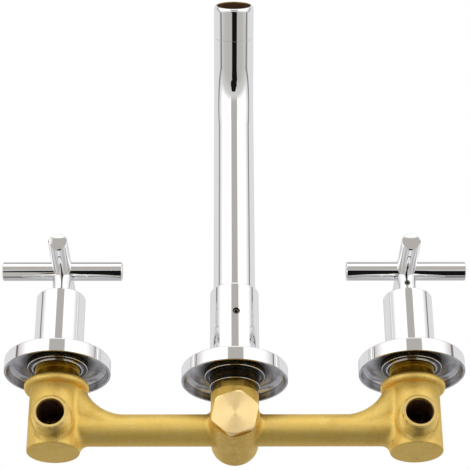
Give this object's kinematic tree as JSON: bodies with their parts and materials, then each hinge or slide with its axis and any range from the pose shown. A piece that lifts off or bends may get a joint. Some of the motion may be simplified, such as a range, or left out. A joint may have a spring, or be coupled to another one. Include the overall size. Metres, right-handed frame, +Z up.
{
  "type": "wall-mounted three-hole faucet",
  "caption": "Wall-mounted mixer faucet: cross handles and a bent spout on a concealed brass manifold, with sliding wall flanges.",
  "frame": {"origin": "the point on the finished wall's face that lies on the axis of the spout", "axes": "+X along the manifold from the hot valve to the cold valve, +Y into the wall, so the spout and handles stand out to -Y, and +Z up, so the inlets face -Z"},
  "size_m": [0.27, 0.2814, 0.0881],
  "materials": {
    "cast_brass": "as cast, fine grained",
    "machined_brass": "turned, satin",
    "chrome": "polished plating",
    "steel": "satin",
    "ceramic_disc": "lapped",
    "rubber_seal": "matt",
    "fibre_washer": "pressed fibre, matt",
    "white_plastic": "matt",
    "dark_plastic": "matt"
  },
  "bodies": {
    "faucet_body": {"centre_plug": "machined_brass", "cold_bonnet": "machined_brass", "cold_bonnet_washer": "rubber_seal", "cold_fixed_disc": "ceramic_disc", "cold_seat_seal": "rubber_seal", "cold_sleeve": "chrome", "cold_thrust_washer": "white_plastic", "collar_grub_screw": "steel", "flow_straightener": "dark_plastic", "hot_bonnet": "machined_brass", "hot_bonnet_washer": "rubber_seal", "hot_fixed_disc": "ceramic_disc", "hot_seat_seal": "rubber_seal", "hot_sleeve": "chrome", "hot_thrust_washer": "white_plastic", "manifold_body": "cast_brass", "nipple_o_rings": "rubber_seal", "plug_washer": "fibre_washer", "spout_collar": "chrome", "spout_nipple": "machined_brass", "spout_tip": "chrome", "spout_tube": "chrome", "straightener_seal": "rubber_seal"},
    "hot_handle": {"hot_cross_handle": "chrome", "hot_handle_grub_screw": "steel", "hot_spindle": "machined_brass", "hot_spindle_o_rings": "rubber_seal", "hot_spindle_circlip": "steel", "hot_moving_disc": "ceramic_disc"},
    "cold_handle": {"cold_cross_handle": "chrome", "cold_handle_grub_screw": "steel", "cold_spindle": "machined_brass", "cold_spindle_o_rings": "rubber_seal", "cold_spindle_circlip": "steel", "cold_moving_disc": "ceramic_disc"},
    "hot_flange": {"hot_wall_flange": "chrome", "hot_flange_o_ring": "rubber_seal"},
    "cold_flange": {"cold_wall_flange": "chrome", "cold_flange_o_ring": "rubber_seal"},
    "spout_flange": {"spout_wall_flange": "chrome", "spout_flange_o_ring": "rubber_seal"}
  },
  "joints": [
    {"name": "hot_handle_turn", "type": "hinge", "parent": "faucet_body", "child": "hot_handle", "pos_m": [-0.1, 0, 0], "axis": [0, -1, 0], "range_deg": [0, 90]},
    {"name": "cold_handle_turn", "type": "hinge", "parent": "faucet_body", "child": "cold_handle", "pos_m": [0.1, 0, 0], "axis": [0, 1, 0], "range_deg": [0, 90]},
    {"name": "hot_flange_slide", "type": "slide", "parent": "faucet_body", "child": "hot_flange", "axis": [0, -1, 0], "range_m": [0, 0.025]},
    {"name": "cold_flange_slide", "type": "slide", "parent": "faucet_body", "child": "cold_flange", "axis": [0, -1, 0], "range_m": [0, 0.025]},
    {"name": "spout_flange_slide", "type": "slide", "parent": "faucet_body", "child": "spout_flange", "axis": [0, -1, 0], "range_m": [-0.006, 0.03]}
  ]
}
